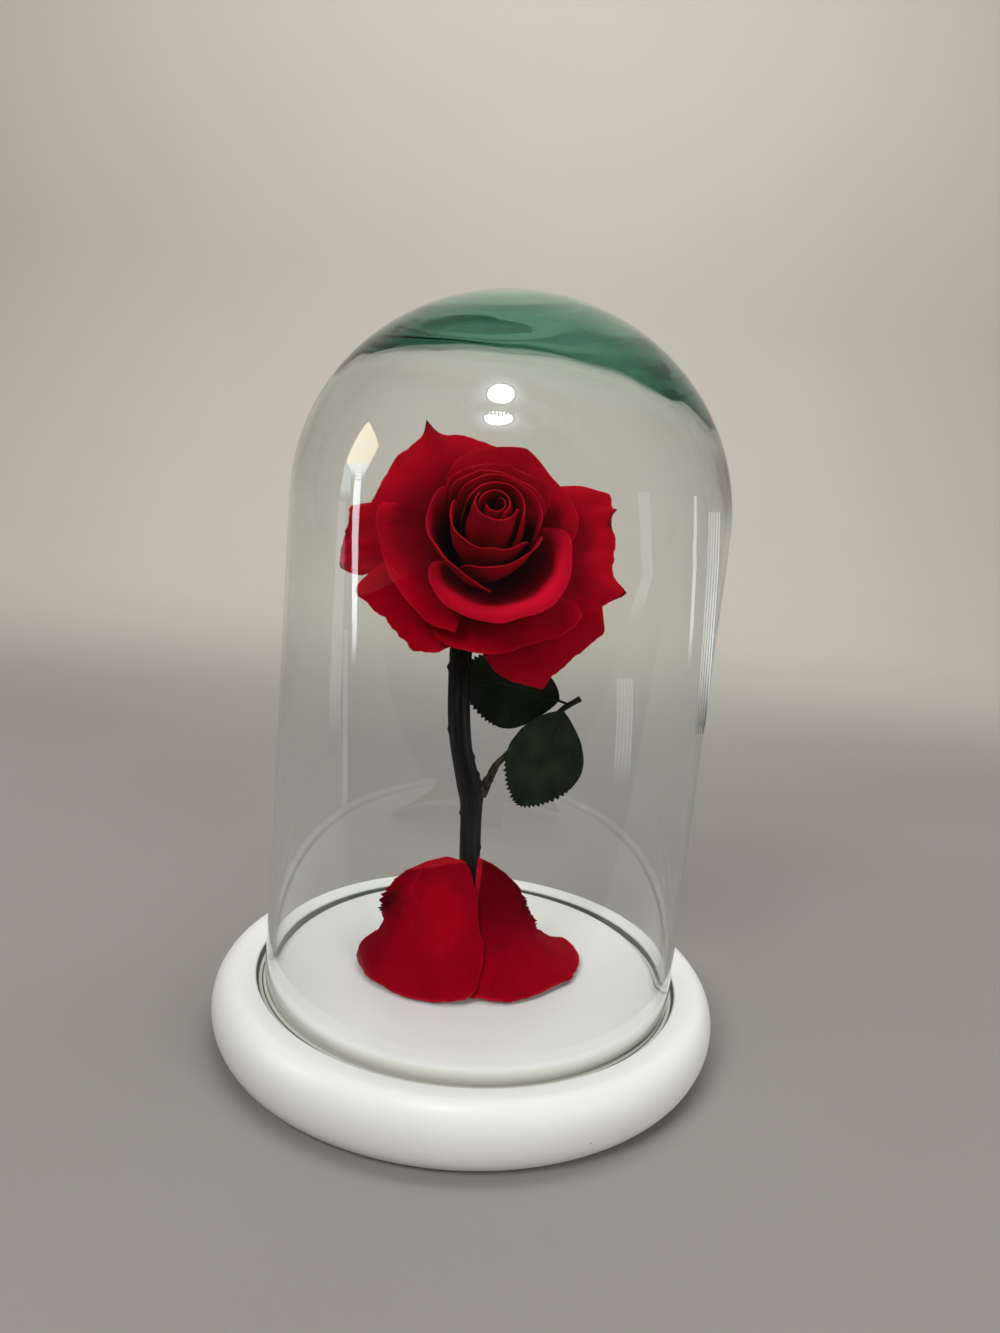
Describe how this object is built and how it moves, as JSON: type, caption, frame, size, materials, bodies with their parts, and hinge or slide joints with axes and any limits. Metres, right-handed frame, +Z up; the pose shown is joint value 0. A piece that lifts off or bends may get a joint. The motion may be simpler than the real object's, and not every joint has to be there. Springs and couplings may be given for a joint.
{
  "type": "preserved rose in glass dome",
  "caption": "Preserved red rose on a dark stem with leaves and fallen petals, under a tall clear glass dome that stands in the groove of a round white base.",
  "frame": {"origin": "middle of the base's underside", "axes": "+Z up, -Y towards the front, where the bloom faces, and +X to the viewer's right"},
  "size_m": [0.1846, 0.1846, 0.2643],
  "materials": {
    "base_paint": "turned board with white satin paint",
    "dome_glass": "clear blown glass, dark green where the crown is thick",
    "petal_red": "preserved petal, velvety deep crimson with thin pale rims and dry brown tips",
    "stem_bark": "dyed stem, charcoal black satin with lengthwise ridges",
    "twig_bark": "rough olive brown bark",
    "leaf_green": "preserved leaf, very dark green satin with fine veins"
  },
  "bodies": {
    "root": {"base": "base_paint", "glass_dome": "dome_glass", "stem": "stem_bark", "leaf_twig": "twig_bark", "lower_leaf": "leaf_green", "upper_leaf": "leaf_green", "bud_petal_1": "petal_red", "bud_petal_2": "petal_red", "bud_petal_3": "petal_red", "bud_petal_4": "petal_red", "heart_petal_1": "petal_red", "heart_petal_2": "petal_red", "heart_petal_3": "petal_red", "cup_petal_1": "petal_red", "cup_petal_2": "petal_red", "cup_petal_3": "petal_red", "cup_petal_4": "petal_red", "wide_petal_1": "petal_red", "wide_petal_2": "petal_red", "wide_petal_3": "petal_red", "outer_petal_1": "petal_red", "outer_petal_2": "petal_red", "outer_petal_3": "petal_red", "outer_petal_4": "petal_red", "outer_petal_5": "petal_red", "fallen_petal_left": "petal_red", "fallen_petal_right": "petal_red"}
  },
  "joints": []
}
